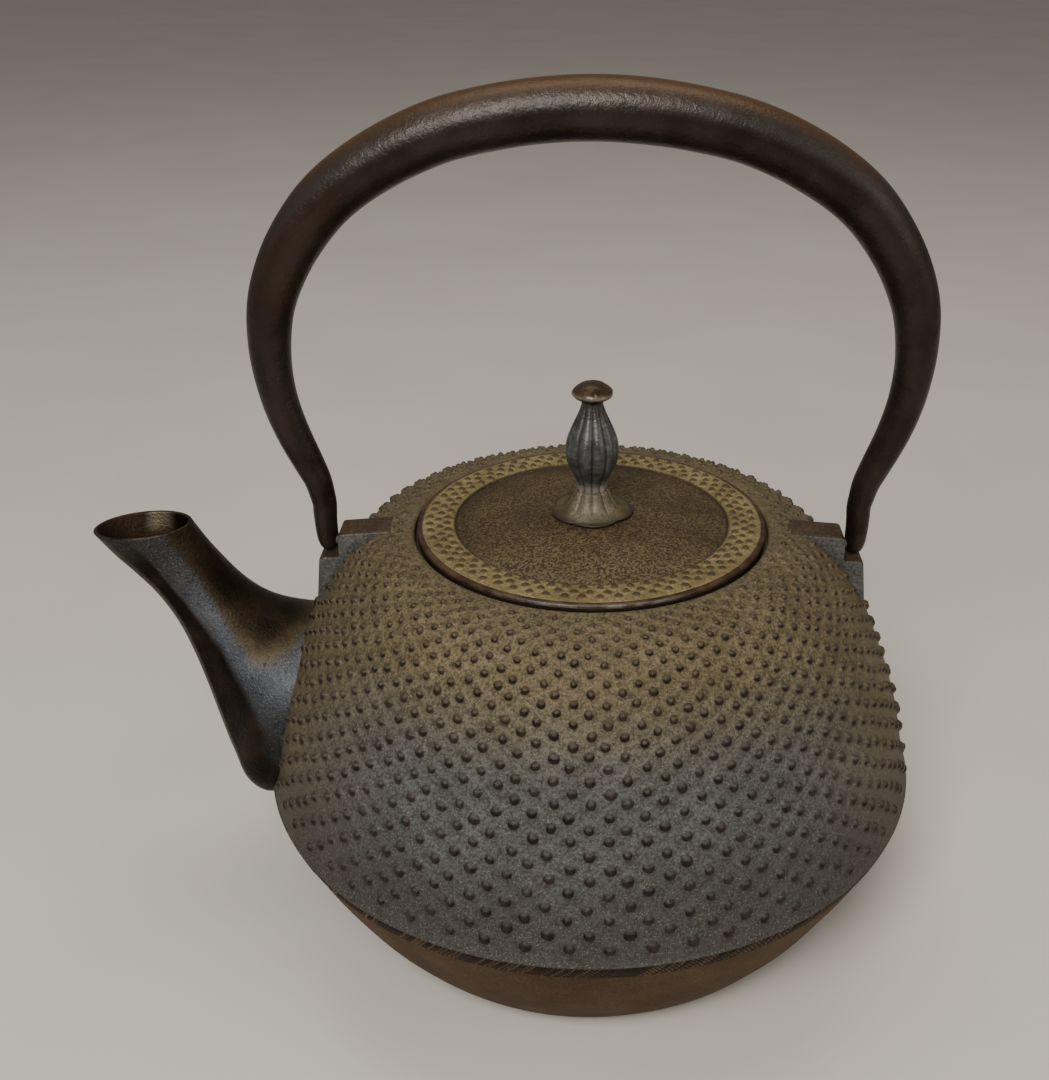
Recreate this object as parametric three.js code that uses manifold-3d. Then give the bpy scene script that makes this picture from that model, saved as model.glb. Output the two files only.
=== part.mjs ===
// Hobnailed cast iron teapot with a lift-off lid and a folding bail handle.
// Millimetres, +Z up. The origin is the centre of the flat base, on the pot's
// axis. The spout points along -X, and the bail folds about the X direction.
import * as THREE from 'three';
import { mergeVertices } from 'three/addons/utils/BufferGeometryUtils.js';
import Module from 'manifold-3d';

const wasm = await Module();
wasm.setup();

// ---------------------------------------------------------------- dimensions
const SIDES = 56;                // facets round the pot and the lid
const PART_R = 91.8;             // radius of the casting's parting edge, the widest point
const MOUTH_R = 42.3;            // throat of the mouth
const SEAT_R = 47.6;             // recess that the lid drops into
const SEAT_Z = 112.6;            // height of the lid seat
const LID_R = 46.9;              // radius of the lid
const LID_TOP = 116.1;           // top of the lid's rim
const RECESS_R = 36.8;           // sunk middle of the lid
const SKIRT_R = 41.3;            // locating skirt under the lid
const STEM_R = 1.5;              // stem through knob and lid
const STEM_HOLE_R = 1.9;
const PIVOT_Z = 109.5;           // height of the bail's fold axis
const PIVOT_PIN_R = 1.5;
const LUG_HALF_Y = 4.8;          // half thickness of a lug
const BAIL_TOP_Z = 222.8;        // centreline of the bail at its crown
const BAIL_LEAN = 0.5;           // sideways set of the crown, as bent by hand
const TUBE_WALL = 1.5;           // sheet thickness of the hollow bail
const TUBE_END_Z = 121.5;        // where the hollow tube stops and the tips start
const GAP = 0.3;                 // clearance between pieces that touch

// ------------------------------------------------------------------- helpers
const iron = (color, roughness, metalness) =>
  new THREE.MeshStandardMaterial({ color, roughness, metalness });

// a closed triangle mesh turned into a solid, with its faces pointing out
function solid(geometry) {
  const g = geometry.index ? geometry.clone() : geometry.clone();
  g.deleteAttribute('normal');
  g.deleteAttribute('uv');
  const m = mergeVertices(g, 1e-4);
  const p = m.attributes.position.array;
  let idx = Array.from(m.index.array);
  const tris = [];
  let vol = 0;
  for (let i = 0; i < idx.length; i += 3) {
    const [a, b, c] = [idx[i], idx[i + 1], idx[i + 2]];
    if (a === b || b === c || a === c) continue;
    tris.push(a, b, c);
    const A = new THREE.Vector3().fromArray(p, 3 * a);
    const B = new THREE.Vector3().fromArray(p, 3 * b);
    const C = new THREE.Vector3().fromArray(p, 3 * c);
    vol += A.dot(B.cross(C));
  }
  if (vol < 0) for (let i = 0; i < tris.length; i += 3) {
    const t = tris[i + 1]; tris[i + 1] = tris[i + 2]; tris[i + 2] = t;
  }
  return new wasm.Manifold(new wasm.Mesh({
    numProp: 3,
    vertProperties: new Float32Array(p),
    triVerts: new Uint32Array(tris),
  }));
}

function geometryOf(manifold) {
  const mesh = manifold.getMesh();
  const g = new THREE.BufferGeometry();
  g.setAttribute('position', new THREE.BufferAttribute(new Float32Array(mesh.vertProperties), 3));
  g.setIndex(new THREE.BufferAttribute(new Uint32Array(mesh.triVerts), 1));
  return g;
}

// a profile of [radius, z] pairs turned about the Z axis; it starts and ends
// on the axis, or closes on itself
function turned(profile, sides = SIDES) {
  const pts = profile.map(([r, z]) => new THREE.Vector2(r, z));
  const g = new THREE.LatheGeometry(pts, sides);
  g.rotateX(Math.PI / 2);
  return g;
}
const ringProfile = (profile) => [...profile, profile[0]];

function cylinderX(r, x0, x1, z, sides = 24) {
  const g = new THREE.CylinderGeometry(r, r, Math.abs(x1 - x0), sides);
  g.rotateZ(Math.PI / 2);
  g.translate((x0 + x1) / 2, 0, z);
  return g;
}


// a skin through a row of closed rings, each an array of Vector3, with a fan
// of triangles over each end
function loft(rings) {
  const n = rings[0].length;
  const pos = [];
  const idx = [];
  for (const ring of rings) for (const v of ring) pos.push(v.x, v.y, v.z);
  for (let k = 0; k + 1 < rings.length; k++) {
    for (let i = 0; i < n; i++) {
      const a = k * n + i, b = k * n + (i + 1) % n, c = a + n, d = b + n;
      idx.push(a, b, d, a, d, c);
    }
  }
  for (const [k, flip] of [[0, true], [rings.length - 1, false]]) {
    const mid = new THREE.Vector3();
    for (const v of rings[k]) mid.add(v);
    mid.multiplyScalar(1 / n);
    const centre = pos.length / 3;
    pos.push(mid.x, mid.y, mid.z);
    for (let i = 0; i < n; i++) {
      const a = k * n + i, b = k * n + (i + 1) % n;
      if (flip) idx.push(centre, b, a); else idx.push(centre, a, b);
    }
  }
  const g = new THREE.BufferGeometry();
  g.setAttribute('position', new THREE.Float32BufferAttribute(pos, 3));
  g.setIndex(idx);
  return g;
}

// an oval ring between a low and a high point of the XZ plane, wide in Y; a
// power over 2 makes the corners of its lower half fuller
function ovalRing([lx, lz], [ux, uz], halfY, power, sides) {
  const c = new THREE.Vector3((lx + ux) / 2, 0, (lz + uz) / 2);
  const up = new THREE.Vector3((ux - lx) / 2, 0, (uz - lz) / 2);
  const ring = [];
  for (let i = 0; i < sides; i++) {
    const t = 2 * Math.PI * i / sides;
    const a = Math.cos(t), b = Math.sin(t);
    const k = a < 0 ? 2 / power : 1;
    const v = c.clone().addScaledVector(up, Math.sign(a) * Math.abs(a) ** k);
    v.y = halfY * Math.sign(b) * Math.abs(b) ** k;
    ring.push(v);
  }
  return ring;
}

const root = new THREE.Group();
function add(name, geometry, material) {
  const mesh = new THREE.Mesh(geometry, material);
  mesh.name = name;
  root.add(mesh);
  return mesh;
}

// ------------------------------------------------------------------ pot body
// One iron casting: wall, bowl-shaped bottom, spout and two lugs.
const outside = [
  [0, 0], [60, 0], [64.4, 0.7], [67.8, 2.6], [70.4, 5.6], [73.2, 9.6],
  [76.6, 14.4], [80.2, 20.6], [85.3, 30.2], [88.6, 37], [90.0, 41.0],
  [PART_R, 42.4], [PART_R, 43.9], [90.0, 50], [88.7, 57], [87.1, 64],
  [84.8, 71], [82.1, 78], [79.2, 85], [75.9, 92], [72.4, 98], [68.6, 104],
  [64.4, 108.8], [60.4, 112.2], [55.6, 114.2], [51.8, 115.0], [49.6, 115.2],
  [48.3, 115.0], [0, 115.0],
];
const inside = [
  [0, 3.4], [60, 3.4], [65.6, 5.2], [70.4, 10.6], [77.0, 20.8], [82.0, 30.6],
  [86.4, 41.5], [86.9, 46], [85.9, 55], [83.6, 65], [80.0, 76], [75.6, 86],
  [69.2, 97], [63.4, 104.4], [58.4, 108.4], [53, 109.8], [45.2, 109.9],
  [MOUTH_R, 110.4], [MOUTH_R, SEAT_Z], [SEAT_R, SEAT_Z], [SEAT_R, 114.4],
  [48.3, 115.0], [48.3, 118], [0, 118],
];
// spout sections: low point, high point, half width, power of the oval
const spoutOutside = [
  [[-76, 40], [-64, 83], 22.0, 3.0],
  [[-91.6, 38.2], [-76.5, 85.6], 25.0, 3.0],
  [[-98.4, 39.4], [-82.0, 86.6], 24.2, 2.9],
  [[-103.0, 44.6], [-87.2, 88.4], 21.2, 2.7],
  [[-106.0, 53.4], [-91.8, 91.0], 17.6, 2.4],
  [[-108.8, 64.5], [-95.8, 94.4], 14.6, 2.2],
  [[-111.8, 75.2], [-99.2, 98.4], 12.3, 2.1],
  [[-115.4, 85.2], [-102.0, 102.4], 10.8, 2.0],
  [[-120.4, 94.0], [-104.6, 106.4], 9.8, 2.0],
  [[-126.0, 100.7], [-106.6, 110.0], 9.3, 2.0],
  [[-130.8, 106.0], [-107.9, 112.5], 9.1, 2.0],
  [[-135.4, 112.0], [-108.7, 114.1], 8.9, 2.0],
];
const spoutBore = [
  [[-70, 53], [-60, 79], 14.0, 2.2],
  [[-86, 49.5], [-77, 80.8], 18.4, 2.2],
  [[-95.2, 48.4], [-83.4, 82.8], 19.0, 2.2],
  [[-99.6, 53.2], [-87.4, 85.4], 16.6, 2.2],
  [[-102.8, 61.0], [-91.2, 88.6], 13.8, 2.1],
  [[-105.8, 70.6], [-94.6, 92.2], 11.4, 2.1],
  [[-109.0, 80.2], [-97.6, 96.0], 9.3, 2.0],
  [[-113.2, 88.6], [-100.4, 100.2], 7.8, 2.0],
  [[-118.2, 95.6], [-103.2, 104.6], 7.0, 2.0],
  [[-124.0, 102.0], [-106.2, 109.0], 6.7, 2.0],
  [[-133.1, 112.3], [-110.6, 114.0], 7.2, 2.0],
  [[-136.8, 116.5], [-112.0, 118.1], 7.7, 2.0],
];
const spoutSkin = (rows, sides) => loft(rows.map(([l, u, w, p]) => ovalRing(l, u, w, p, sides)));

function lug(side) {
  const outline = new THREE.Shape();
  const pts = [
    [50, 100], [50, 114.4], [53.5, 114.15], [67.5, 113.0], [68.2, 112.7],
    [68.45, 112.1], [68.45, 106.1], [72.4, 106.1], [73.9, 105.6], [75.4, 93.0],
    [72, 90.5], [66, 92],
  ];
  pts.forEach(([x, z], i) => (i ? outline.lineTo(x, z) : outline.moveTo(x, z)));
  outline.closePath();
  const block = new THREE.ExtrudeGeometry(outline, { depth: 2 * LUG_HALF_Y, bevelEnabled: false });
  block.translate(0, 0, -LUG_HALF_Y);
  block.rotateX(Math.PI / 2);
  const bore = solid(cylinderX(PIVOT_PIN_R + 0.35, 64, 76, PIVOT_Z));
  const one = solid(block);
  return side < 0 ? [one.mirror([1, 0, 0]), bore.mirror([1, 0, 0])] : [one, bore];
}
const [lugL, boreL] = lug(-1);
const [lugR, boreR] = lug(1);
const hull = solid(turned(outside));
const bore = solid(spoutSkin(spoutBore, 20));
const pot = hull
  .add(lugL).add(lugR)
  .subtract(solid(turned(inside)))
  .subtract(bore)
  .subtract(boreL).subtract(boreR);
add('pot_body', geometryOf(pot), iron(0x5a5142, 0.62, 0.55));
// The spout starts on the wall's outer face; its bore goes on through the wall.
const spout = solid(spoutSkin(spoutOutside, 24)).subtract(hull).subtract(bore);
add('spout', geometryOf(spout), iron(0x4b4a4a, 0.55, 0.6));

// ----------------------------------------------------------------------- lid
// Flat disc with a plain rim, a bumpy band and a gently domed, sunk middle.
const lidProfile = ringProfile([
  [STEM_HOLE_R, 118.4], [12, 118.4], [20, 117.8], [28, 116.9], [34, 115.9],
  [36.5, 115.5], [RECESS_R, 116.2], [45.1, 116.2], [45.6, LID_TOP],
  [LID_R - 0.3, LID_TOP], [LID_R, 115.8], [LID_R, SEAT_Z + GAP], [SKIRT_R, SEAT_Z + GAP],
  [SKIRT_R - 0.3, 106.4], [38.6, 106.4], [38.2, 112.6], [30, 113.2],
  [20, 114.3], [12, 115.1], [STEM_HOLE_R, 115.1],
]);
add('lid', geometryOf(solid(turned(lidProfile))), iron(0x6a5f3c, 0.6, 0.5));

// flared washer that the knob stands on
const SEAT_BASE_Z = 118.4 + GAP;
add('knob_seat', geometryOf(solid(turned(ringProfile([
  [STEM_HOLE_R, SEAT_BASE_Z], [11.1, SEAT_BASE_Z], [11.6, 119.1], [11.2, 119.5],
  [8.4, 120.1], [6.3, 121.1], [5.0, 122.5], [STEM_HOLE_R, 122.5],
]), 32))), iron(0x8a8672, 0.45, 0.7));

// fluted bud
const budRows = [
  [122.5 + GAP, 4.7], [124.0, 4.35], [126.6, 4.1], [128.6, 4.6], [131.0, 5.9],
  [133.4, 6.75], [136.8, 7.05], [140.0, 6.5], [143.9, 4.95], [147.0, 3.55],
  [149.2, 2.8], [150.2, 3.0],
];
function fluted(rows, lobes, depth) {
  const n = lobes * 2;
  return loft(rows.map(([z, r]) => {
    const ring = [];
    for (let i = 0; i < n; i++) {
      const t = 2 * Math.PI * i / n;
      const k = i % 2 ? 1 - depth : 1;
      ring.push(new THREE.Vector3(r * k * Math.cos(t), r * k * Math.sin(t), z));
    }
    return ring;
  }));
}
const stemHole = turned([[0, 100], [STEM_HOLE_R, 100], [STEM_HOLE_R, 160], [0, 160]], 20);
add('knob', geometryOf(solid(fluted(budRows, 10, 0.06)).subtract(solid(stemHole))),
  iron(0x4b525c, 0.35, 0.85));

// headed stem: mushroom cap on top, clenched over a washer under the lid
add('knob_stem', geometryOf(solid(turned([
  [0, 112.3], [2.4, 112.3], [3.0, 112.9], [2.6, 113.5], [STEM_R, 113.6],
  [STEM_R, 150.5], [3.3, 150.5], [5.1, 151.3], [5.57, 152.2], [5.35, 152.9],
  [4.3, 154.1], [2.4, 155.0], [0, 155.3],
], 24))), iron(0x5b3a2a, 0.4, 0.75));

add('stem_washer', geometryOf(solid(turned(ringProfile([
  [STEM_HOLE_R, 113.9], [6.0, 113.9], [6.0, 114.8], [STEM_HOLE_R, 114.8],
]), 24))), iron(0x55504a, 0.6, 0.7));

// -------------------------------------------------------------- bail handle
// centreline of one half, from the crown down: x, z, diameter
const bailHalf = [
  [0, BAIL_TOP_Z, 15.3], [12.0, 222.2, 15.3], [25.0, 220.3, 15.2],
  [38.0, 217.0, 15.0], [53.0, 210.0, 14.8], [65.0, 201.3, 14.3],
  [73.7, 190.5, 13.5], [78.8, 180.6, 12.7], [81.1, 173.0, 11.8],
  [82.1, 163.5, 10.8], [81.9, 156.5, 10.1], [80.8, 148.9, 9.5],
  [78.4, 140.5, 8.9], [75.0, 131.9, 8.1], [73.1, 127.0, 7.4],
  [72.0, TUBE_END_Z, 6.7],
];
const lean = (z) => BAIL_LEAN * Math.max(0, (z - 120) / (BAIL_TOP_Z - 120)) ** 2;
const bailPoints = [
  ...bailHalf.slice(1).reverse().map(([x, z, d]) => [-x, z, d]),
  ...bailHalf,
];
const bailCurve = new THREE.CatmullRomCurve3(
  bailPoints.map(([x, z]) => new THREE.Vector3(x + lean(z), 0, z)), false, 'centripetal');
const bailDia = new THREE.CatmullRomCurve3(
  bailPoints.map(([x, z, d], i) => new THREE.Vector3(i, d, 0)), false, 'catmullrom');
function bailSkin(inset, sides, steps, overrun) {
  const rings = [];
  for (let k = 0; k <= steps; k++) {
    const t = k / steps;
    const c = bailCurve.getPoint(t);
    const tan = bailCurve.getTangent(t);
    const r = bailDia.getPoint(t).y / 2 - inset;
    const side = new THREE.Vector3(-tan.z, 0, tan.x);
    if (k === 0) c.addScaledVector(tan, -overrun);
    if (k === steps) c.addScaledVector(tan, overrun);
    const ring = [];
    for (let i = 0; i < sides; i++) {
      const a = 2 * Math.PI * i / sides;
      const v = c.clone().addScaledVector(side, r * Math.cos(a));
      v.y += r * Math.sin(a);
      ring.push(v);
    }
    rings.push(ring);
  }
  return loft(rings);
}
const BAIL_STEPS = 48;
add('handle_tube', geometryOf(
  solid(bailSkin(0, 16, BAIL_STEPS, 0)).subtract(solid(bailSkin(TUBE_WALL, 12, BAIL_STEPS, 1))),
), iron(0x3a322d, 0.38, 0.8));

// forged tip: a plug in the tube and a shank that stands in the lug's outer notch
const tipRows = [
  // z, centre x, half x, half y
  [106.65, 71.6, 1.1, 0.9], [106.95, 71.6, 1.8, 1.6], [107.8, 71.65, 2.4, 2.3],
  [110.0, 71.85, 2.85, 2.7], [112.2, 71.95, 3.0, 2.85], [114.2, 72.0, 3.05, 3.0],
  [115.9, 72.0, 3.1, 3.1], [118.0, 71.95, 3.2, 3.2], [TUBE_END_Z - 1.1, 71.85, 3.25, 3.25],
];
function tip() {
  const sides = 20;
  const body = loft(tipRows.map(([z, cx, hx, hy]) => {
    const ring = [];
    for (let i = 0; i < sides; i++) {
      const a = 2 * Math.PI * i / sides;
      ring.push(new THREE.Vector3(cx + hx * Math.cos(a), hy * Math.sin(a), z));
    }
    return ring;
  }));
  const plug = loft([[119.9, 71.75], [121.5, 72.0], [124.0, 72.5], [127.0, 73.1]].map(([z, cx]) => {
    const ring = [];
    for (let i = 0; i < 12; i++) {
      const a = 2 * Math.PI * i / 12;
      ring.push(new THREE.Vector3(cx + 1.35 * Math.cos(a), 1.35 * Math.sin(a), z));
    }
    return ring;
  }));
  return solid(body).add(solid(plug))
    .subtract(solid(cylinderX(PIVOT_PIN_R + 0.3, 68.0, 72.5, PIVOT_Z)));
}
const rightTip = tip();
add('handle_tip_right', geometryOf(rightTip), iron(0x2f2925, 0.45, 0.75));
add('handle_tip_left', geometryOf(rightTip.mirror([1, 0, 0])), iron(0x2f2925, 0.45, 0.75));

// pins that carry the bail in the lugs
add('pivot_pin_right', geometryOf(solid(cylinderX(PIVOT_PIN_R, 64.4, 72.2, PIVOT_Z, 20))),
  iron(0x4a4642, 0.5, 0.8));
add('pivot_pin_left', geometryOf(solid(cylinderX(PIVOT_PIN_R, -72.2, -64.4, PIVOT_Z, 20))),
  iron(0x4a4642, 0.5, 0.8));

export default root;
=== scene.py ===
import bpy
import math
import numpy as np
from mathutils import Vector, Matrix


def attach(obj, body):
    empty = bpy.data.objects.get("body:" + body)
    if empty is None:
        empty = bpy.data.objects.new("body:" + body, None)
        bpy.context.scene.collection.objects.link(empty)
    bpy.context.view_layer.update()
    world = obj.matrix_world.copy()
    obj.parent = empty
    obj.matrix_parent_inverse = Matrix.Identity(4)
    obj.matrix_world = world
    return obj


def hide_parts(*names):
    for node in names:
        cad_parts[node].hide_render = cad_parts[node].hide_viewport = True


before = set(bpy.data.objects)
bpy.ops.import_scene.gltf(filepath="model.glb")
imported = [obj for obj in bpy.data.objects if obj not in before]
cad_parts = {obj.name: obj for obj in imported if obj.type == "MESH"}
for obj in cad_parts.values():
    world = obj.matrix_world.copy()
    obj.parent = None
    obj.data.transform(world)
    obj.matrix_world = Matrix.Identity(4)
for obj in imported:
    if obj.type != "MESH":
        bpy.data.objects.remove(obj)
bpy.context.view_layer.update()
MM = 0.001
TAU = 2 * math.pi


# ------------------------------------------------------------------ mesh tools
def piece(name, V, F, mat, body, slot, stands=(), sharp=None, attrs=None):
    """One visual piece from points in millimetres and faces."""
    me = bpy.data.meshes.new(name)
    me.from_pydata((np.asarray(V, float) * MM).tolist(), [], [list(map(int, f)) for f in F])
    me.polygons.foreach_set("use_smooth", [True] * len(me.polygons))
    if sharp:
        me.set_sharp_from_angle(angle=math.radians(sharp))
    for key, values in (attrs or {}).items():
        at = me.attributes.new(key, "FLOAT", "POINT")
        at.data.foreach_set("value", np.asarray(values, np.float32))
    me.materials.append(mat)
    ob = bpy.data.objects.new(name, me)
    bpy.context.scene.collection.objects.link(ob)
    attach(ob, body)
    if stands:
        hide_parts(*stands)
    return ob


def catmull(P, per):
    """Centripetal Catmull-Rom through the rows of P, per points to a span."""
    P = np.asarray(P, float)
    P = np.vstack([2 * P[0] - P[1], P, 2 * P[-1] - P[-2]])
    out = []
    for i in range(1, len(P) - 2):
        p0, p1, p2, p3 = P[i - 1:i + 3]
        t0 = 0.0
        t1 = t0 + max(np.linalg.norm(p1 - p0), 1e-6) ** 0.5
        t2 = t1 + max(np.linalg.norm(p2 - p1), 1e-6) ** 0.5
        t3 = t2 + max(np.linalg.norm(p3 - p2), 1e-6) ** 0.5
        for k in range(per):
            t = t1 + (t2 - t1) * k / per
            a1 = (t1 - t) / (t1 - t0) * p0 + (t - t0) / (t1 - t0) * p1
            a2 = (t2 - t) / (t2 - t1) * p1 + (t - t1) / (t2 - t1) * p2
            a3 = (t3 - t) / (t3 - t2) * p2 + (t - t2) / (t3 - t2) * p3
            b1 = (t2 - t) / (t2 - t0) * a1 + (t - t0) / (t2 - t0) * a2
            b2 = (t3 - t) / (t3 - t1) * a2 + (t - t1) / (t3 - t1) * a3
            out.append((t2 - t) / (t2 - t1) * b1 + (t - t1) / (t2 - t1) * b2)
    out.append(P[-2])
    return np.array(out)


def grid_faces(rows, n, close=True, start=0):
    F = []
    for i in range(rows - 1):
        for j in range(n if close else n - 1):
            k = (j + 1) % n
            F.append((start + i * n + j, start + i * n + k, start + (i + 1) * n + k, start + (i + 1) * n + j))
    return F


def lathe(profile, n, wobble=None):
    """Points and faces of a turned surface; a row at radius 0 becomes one point."""
    V, F, rings = [], [], []
    for r, z in profile:
        if r < 1e-6:
            rings.append([len(V)])
            V.append((0.0, 0.0, z))
            continue
        ring = []
        for j in range(n):
            t = TAU * j / n
            rr = r if wobble is None else r + wobble(t, r, z)
            ring.append(len(V))
            V.append((rr * math.cos(t), rr * math.sin(t), z))
        rings.append(ring)
    for a, b in zip(rings, rings[1:]):
        if len(a) == 1 and len(b) == 1:
            continue
        for j in range(n):
            k = (j + 1) % n
            if len(a) == 1:
                F.append((a[0], b[k], b[j]))
            elif len(b) == 1:
                F.append((a[j], a[k], b[0]))
            else:
                F.append((a[j], a[k], b[k], b[j]))
    return V, F


def join(*parts):
    V, F = [], []
    for v, f in parts:
        off = len(V)
        V.extend([tuple(p) for p in v])
        F.extend([tuple(i + off for i in q) for q in f])
    return V, F


def rounded(profile, radius, steps=3):
    """A polyline with each inner corner rounded."""
    P = [np.array(p, float) for p in profile]
    out = [tuple(P[0])]
    for a, b, c in zip(P, P[1:], P[2:]):
        u, v = a - b, c - b
        lu, lv = np.linalg.norm(u), np.linalg.norm(v)
        d = min(radius, 0.45 * lu, 0.45 * lv)
        s, e = b + u / lu * d, b + v / lv * d
        for k in range(steps + 1):
            t = k / steps
            out.append(tuple((1 - t) ** 2 * s + 2 * t * (1 - t) * b + t * t * e))
    out.append(tuple(P[-1]))
    return out


# ------------------------------------------------------------------- materials
class Iron:
    """Short ways to make a procedural metal."""

    def __init__(self, name):
        self.m = bpy.data.materials.new(name)
        self.m.use_nodes = True
        self.t = self.m.node_tree
        self.t.nodes.clear()
        self.out = self.t.nodes.new("ShaderNodeOutputMaterial")
        self.b = self.t.nodes.new("ShaderNodeBsdfPrincipled")
        self.t.links.new(self.b.outputs[0], self.out.inputs[0])
        self.co = self.t.nodes.new("ShaderNodeTexCoord").outputs["Object"]
        self.sep = self.t.nodes.new("ShaderNodeSeparateXYZ")
        self.t.links.new(self.co, self.sep.inputs[0])
        self.x, self.y, self.z = self.sep.outputs

    def put(self, socket, value):
        if hasattr(value, "is_output"):
            self.t.links.new(value, socket)
        elif isinstance(value, (tuple, list)) and len(value) == 3 and socket.type == "RGBA":
            socket.default_value = (*value, 1)
        else:
            socket.default_value = value

    def noise(self, scale, detail=4.0, rough=0.55, warp=0.0, vec=None):
        n = self.t.nodes.new("ShaderNodeTexNoise")
        self.put(n.inputs["Vector"], vec if vec is not None else self.co)
        n.inputs["Scale"].default_value = scale
        n.inputs["Detail"].default_value = detail
        n.inputs["Roughness"].default_value = rough
        n.inputs["Distortion"].default_value = warp
        return n.outputs[0]

    def cells(self, scale, feature="F1", vec=None):
        n = self.t.nodes.new("ShaderNodeTexVoronoi")
        n.feature = feature
        self.put(n.inputs["Vector"], vec if vec is not None else self.co)
        n.inputs["Scale"].default_value = scale
        return n.outputs["Distance"]

    def stretch(self, sx, sy, sz):
        n = self.t.nodes.new("ShaderNodeMapping")
        self.put(n.inputs["Vector"], self.co)
        n.inputs["Scale"].default_value = (sx, sy, sz)
        return n.outputs[0]

    def math(self, op, a, b=0.0, clamp=False):
        n = self.t.nodes.new("ShaderNodeMath")
        n.operation = op
        n.use_clamp = clamp
        self.put(n.inputs[0], a)
        self.put(n.inputs[1], b)
        return n.outputs[0]

    def band(self, v, a, b, c=0.0, d=1.0):
        n = self.t.nodes.new("ShaderNodeMapRange")
        n.interpolation_type = "SMOOTHSTEP"
        self.put(n.inputs["Value"], v)
        for k, val in zip(("From Min", "From Max", "To Min", "To Max"), (a, b, c, d)):
            self.put(n.inputs[k], val)
        return n.outputs[0]

    def mix(self, fac, a, b, how="MIX"):
        n = self.t.nodes.new("ShaderNodeMix")
        n.data_type = "RGBA"
        n.blend_type = how
        self.put(n.inputs[0], fac)
        self.put(n.inputs[6], a)
        self.put(n.inputs[7], b)
        return n.outputs[2]

    def attr(self, name):
        n = self.t.nodes.new("ShaderNodeAttribute")
        n.attribute_name = name
        return n.outputs["Fac"]

    def bump(self, height, depth, strength=1.0, below=None):
        n = self.t.nodes.new("ShaderNodeBump")
        n.inputs["Strength"].default_value = strength
        n.inputs["Distance"].default_value = depth
        self.put(n.inputs["Height"], height)
        if below is not None:
            self.t.links.new(below, n.inputs["Normal"])
        return n.outputs[0]

    def done(self, colour, rough, normal=None, metal=0.35, spec=0.5):
        self.put(self.b.inputs["Base Color"], colour)
        self.put(self.b.inputs["Roughness"], rough)
        self.b.inputs["Metallic"].default_value = metal
        self.b.inputs["Specular IOR Level"].default_value = spec
        if normal is not None:
            self.t.links.new(normal, self.b.inputs["Normal"])
        return self.m


def wall_metal():
    k = Iron("iron_wall")
    broad = k.noise(14, 3, 0.5)
    patch = k.noise(70, 4, 0.6)
    grain = k.noise(1250, 3, 0.75)
    speck = k.noise(2300, 2, 0.6)
    olive = k.mix(k.band(patch, 0.32, 0.70), (0.140, 0.107, 0.053), (0.182, 0.144, 0.075))
    rust = k.mix(k.band(broad, 0.5, 0.72, 0.0, 0.4), olive, (0.16, 0.103, 0.050))
    slate = k.mix(k.band(patch, 0.32, 0.70), (0.085, 0.090, 0.086), (0.118, 0.124, 0.119))
    # the lower front turns slate grey: painted cool light falling on the front of the wall
    front = k.band(k.y, -0.024, -0.072)
    low = k.band(k.z, 0.108, 0.082)
    base = k.mix(k.math("MULTIPLY", front, low), rust, slate)
    # darker towards the bottom of the wall: painted shade on the upright lower part
    base = k.mix(k.band(k.z, 0.078, 0.046, 0.0, 0.62), base, (0.036, 0.034, 0.031))
    base = k.mix(k.band(k.x, -0.040, -0.086, 0.0, 0.34), base, (0.060, 0.046, 0.026))
    base = k.mix(k.band(grain, 0.58, 0.40, 0.0, 0.72), base, (0.034, 0.028, 0.020))
    base = k.mix(k.band(speck, 0.56, 0.68, 0.0, 0.34), base, (0.34, 0.31, 0.25))
    # the dark stud colour is real wear on the tips, and painted shade on the stud flanks that face down (below, from
    # the normal)
    tip = k.attr("tip")
    fleck = k.noise(420, 2, 0.6)
    worn_tips_and_shade = k.mix(k.band(fleck, 0.38, 0.62), (0.008, 0.005, 0.004), (0.028, 0.017, 0.012))
    geo = k.t.nodes.new("ShaderNodeNewGeometry")
    sp = k.t.nodes.new("ShaderNodeSeparateXYZ")
    k.t.links.new(geo.outputs["Normal"], sp.inputs[0])
    below = k.band(sp.outputs[2], 0.80, 0.25, 0.45, 1.0)
    amount = k.math("MULTIPLY", k.band(tip, 0.0, 0.5), k.math("MULTIPLY", below, k.band(k.noise(95, 2, 0.5), 0.28, 0.5, 0.8, 1.0)))
    base = k.mix(amount, base, worn_tips_and_shade)
    rough = k.band(amount, 0.15, 0.95, 0.60, 0.30)
    rough = k.math("ADD", rough, k.band(grain, 0.3, 0.7, -0.06, 0.08))
    n = k.bump(k.noise(900, 4, 0.65), 0.0004, 0.8)
    n = k.bump(grain, 0.0003, 0.8, n)
    return k.done(base, rough, n, metal=0.35, spec=0.3)


def bottom_metal():
    k = Iron("iron_bowl")
    patch = k.noise(60, 5, 0.6)
    grain = k.noise(1700, 3, 0.7)
    broad = k.noise(16, 2, 0.5)
    c = k.mix(k.band(patch, 0.34, 0.68), (0.078, 0.046, 0.024), (0.118, 0.074, 0.041))
    c = k.mix(k.band(broad, 0.42, 0.7, 0.0, 0.4), c, (0.115, 0.070, 0.032))
    c = k.mix(k.band(k.noise(1500, 2, 0.6), 0.57, 0.70, 0.0, 0.5), c, (0.20, 0.135, 0.075))
    c = k.mix(k.band(grain, 0.42, 0.60, 0.6, 0.0), c, (0.018, 0.010, 0.005))
    # the band under the parting edge is painted dark as shade under the overhanging lip, darkest in the cut grooves and
    # lighter on the ridges between them
    edge = k.band(k.z, 0.0383, 0.0392)
    c = k.mix(k.math("MULTIPLY", edge, 0.92), c, k.mix(k.band(k.attr("tooth"), 0.30, 0.75), (0.014, 0.009, 0.007), (0.150, 0.105, 0.070)))
    n = k.bump(k.noise(1000, 4, 0.65), 0.00014, 0.8)
    n = k.bump(patch, 0.0008, 0.25, n)
    return k.done(c, k.band(grain, 0.3, 0.7, 0.6, 0.75), n, metal=0.3, spec=0.08)


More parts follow.
